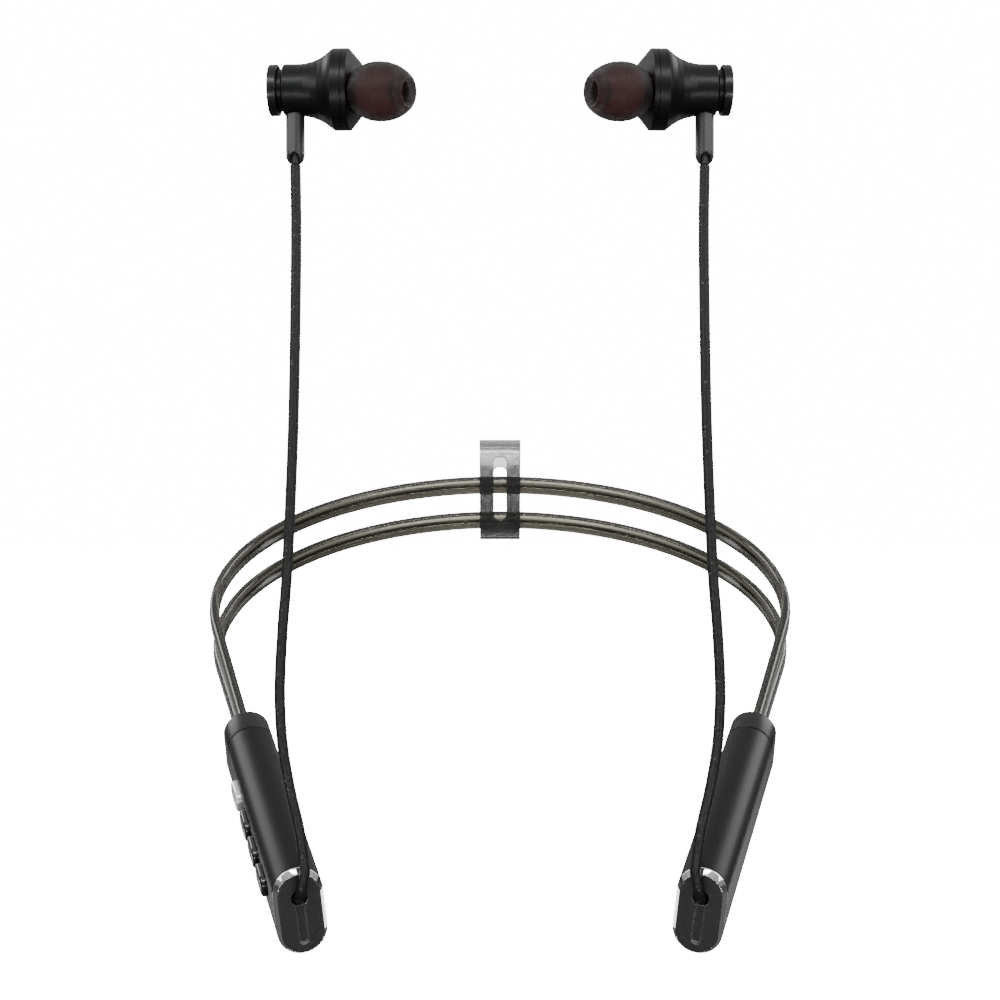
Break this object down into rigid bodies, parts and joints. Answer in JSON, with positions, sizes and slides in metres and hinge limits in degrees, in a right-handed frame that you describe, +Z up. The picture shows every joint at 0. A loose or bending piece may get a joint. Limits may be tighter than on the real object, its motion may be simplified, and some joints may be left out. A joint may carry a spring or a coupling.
{
  "type": "neckband earphones",
  "caption": "Neckband earphones: two thin smoky strands round the neck, a slim pod with keys at each end, and a braided cord up to each in-ear bud.",
  "frame": {"origin": "middle of the band at the back of the neck, halfway between the two strands", "axes": "+Z up, +X to the wearer's left, -Y to the wearer's front; the band and pods lie in a plane tipped 30 degrees down towards the front"},
  "size_m": [0.1456, 0.1652, 0.1824],
  "materials": {
    "smoky": "smoky translucent, glossy",
    "dark_clear": "near-black translucent, glossy",
    "clear": "clear light pipe",
    "black_metal": "satin black anodised",
    "chrome": "polished",
    "gloss_black": "polished black",
    "matt_black": "fine matt",
    "rubber": "matt",
    "silicone": "satin translucent silicone",
    "braid": "fine braided sleeve",
    "steel": "plain",
    "copper": "plain",
    "board": "solder mask",
    "battery_foil": "foil pouch"
  },
  "bodies": {
    "root": {"strand_upper_back": "smoky", "strand_lower_back": "smoky", "memory_wire_back": "steel", "signal_lead_back": "copper"},
    "clip": {"clip": "smoky"},
    "arm_left": {"strand_upper_left": "smoky", "strand_lower_left": "smoky", "memory_wire_left": "steel", "signal_lead_left": "copper", "pod_left_shell": "black_metal", "pod_left_rear_cap": "dark_clear", "pod_left_bezel": "chrome", "pod_left_face_plate": "matt_black", "pod_left_cord_gland": "rubber", "cord_left": "braid", "battery": "battery_foil"},
    "bud_left": {"bud_left_cap": "black_metal", "bud_left_magnet": "steel", "bud_left_rear_shell": "black_metal", "bud_left_front_shell": "black_metal", "bud_left_driver": "steel", "bud_left_nozzle_mesh": "steel", "bud_left_stem": "black_metal"},
    "tip_left": {"ear_tip_left": "silicone"},
    "arm_right": {"strand_upper_right": "smoky", "strand_lower_right": "smoky", "memory_wire_right": "steel", "signal_lead_right": "copper", "pod_right_shell": "black_metal", "pod_right_rear_cap": "dark_clear", "pod_right_bezel": "chrome", "pod_right_face_plate": "matt_black", "pod_right_cord_gland": "rubber", "cord_right": "braid", "main_board": "board", "charging_port": "steel", "microphone": "steel", "status_light": "clear", "switch_1": "steel", "switch_2": "steel", "switch_3": "steel", "switch_4": "steel"},
    "bud_right": {"bud_right_cap": "black_metal", "bud_right_magnet": "steel", "bud_right_rear_shell": "black_metal", "bud_right_front_shell": "black_metal", "bud_right_driver": "steel", "bud_right_nozzle_mesh": "steel", "bud_right_stem": "black_metal"},
    "tip_right": {"ear_tip_right": "silicone"},
    "button_1": {"button_1": "chrome"},
    "button_2": {"button_2": "gloss_black"},
    "button_3": {"button_3": "gloss_black"},
    "button_4": {"button_4": "gloss_black"}
  },
  "joints": [
    {"name": "clip_slide", "type": "hinge", "parent": "root", "child": "clip", "pos_m": [0, -0.07655, -0.04419], "axis": [0, -0.5, 0.866], "range_deg": [-18, 18]},
    {"name": "arm_left_flex", "type": "hinge", "parent": "root", "child": "arm_left", "pos_m": [0.05485, -0.01794, -0.01036], "axis": [0, -0.5, 0.866], "range_deg": [-3, 14], "stiffness_Nm_per_rad": 0.15},
    {"name": "arm_right_flex", "type": "hinge", "parent": "root", "child": "arm_right", "pos_m": [-0.05485, -0.01794, -0.01036], "axis": [0, 0.5, -0.866], "range_deg": [-3, 14], "stiffness_Nm_per_rad": 0.15},
    {"name": "bud_left_turn", "type": "hinge", "parent": "arm_left", "child": "bud_left", "pos_m": [0.0411, -0.1435, 0.083], "axis": [0, 0, 1], "range_deg": [-80, 80]},
    {"name": "bud_right_turn", "type": "hinge", "parent": "arm_right", "child": "bud_right", "pos_m": [-0.0411, -0.1435, 0.083], "axis": [0, 0, -1], "range_deg": [-80, 80]},
    {"name": "ear_tip_left_pull", "type": "slide", "parent": "bud_left", "child": "tip_left", "axis": [-0.8927, -0.4354, -0.1167], "range_m": [0, 0.007]},
    {"name": "ear_tip_right_pull", "type": "slide", "parent": "bud_right", "child": "tip_right", "axis": [0.8927, -0.4354, -0.1167], "range_m": [0, 0.007]},
    {"name": "button_1_press", "type": "slide", "parent": "arm_right", "child": "button_1", "axis": [0.9521, 0.2647, 0.1528], "range_m": [0, 0.0003], "stiffness_N_per_m": 3000},
    {"name": "button_2_press", "type": "slide", "parent": "arm_right", "child": "button_2", "axis": [0.9521, 0.2647, 0.1528], "range_m": [0, 0.0003], "stiffness_N_per_m": 3000},
    {"name": "button_3_press", "type": "slide", "parent": "arm_right", "child": "button_3", "axis": [0.9521, 0.2647, 0.1528], "range_m": [0, 0.0003], "stiffness_N_per_m": 3000},
    {"name": "button_4_press", "type": "slide", "parent": "arm_right", "child": "button_4", "axis": [0.9521, 0.2647, 0.1528], "range_m": [0, 0.0003], "stiffness_N_per_m": 3000}
  ]
}
